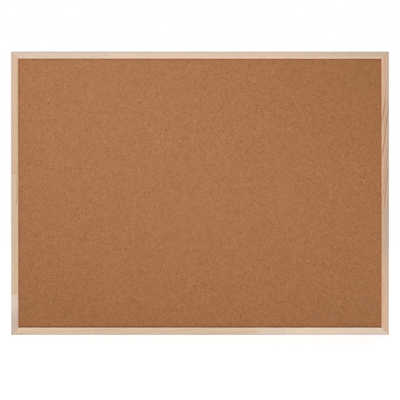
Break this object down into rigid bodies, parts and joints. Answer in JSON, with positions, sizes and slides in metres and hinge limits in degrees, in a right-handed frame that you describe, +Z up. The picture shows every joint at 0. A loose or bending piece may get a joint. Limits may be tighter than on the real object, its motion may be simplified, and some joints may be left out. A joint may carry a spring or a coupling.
{
  "type": "cork bulletin board",
  "caption": "Rectangular cork bulletin board in a slim mitred pine frame with finger-jointed lengths, softboard behind the cork and keyhole hangers let into the back.",
  "frame": {"origin": "middle of the frame's back plane, which lies against the wall", "axes": "+X along the board to the right as seen from the front, +Z up, +Y from the cork towards the wall"},
  "size_m": [1.2, 0.02, 0.9],
  "materials": {
    "pine": "sanded and clear-sealed pine",
    "cork": "fine-grained natural cork",
    "softboard": "soft wood-fibre board",
    "liner": "brown kraft paper",
    "nail_steel": "plain spring steel",
    "zinc_plate": "bright zinc-plated steel"
  },
  "bodies": {
    "root": {"top_rail_left": "pine", "top_rail_right": "pine", "bottom_rail_left": "pine", "bottom_rail_right": "pine", "left_stile_top": "pine", "left_stile_middle": "pine", "left_stile_bottom": "pine", "right_stile_top": "pine", "right_stile_bottom": "pine", "cork_sheet": "cork", "softboard_core": "softboard", "back_liner": "liner", "top_left_corner_nails": "nail_steel", "top_right_corner_nails": "nail_steel", "bottom_left_corner_nails": "nail_steel", "bottom_right_corner_nails": "nail_steel", "top_framing_points": "zinc_plate", "bottom_framing_points": "zinc_plate", "left_framing_points": "zinc_plate", "right_framing_points": "zinc_plate", "left_hanger_plate": "zinc_plate", "right_hanger_plate": "zinc_plate", "top_hanger_plate": "zinc_plate", "bottom_hanger_plate": "zinc_plate", "left_hanger_screws": "zinc_plate", "right_hanger_screws": "zinc_plate", "top_hanger_screws": "zinc_plate", "bottom_hanger_screws": "zinc_plate"}
  },
  "joints": []
}
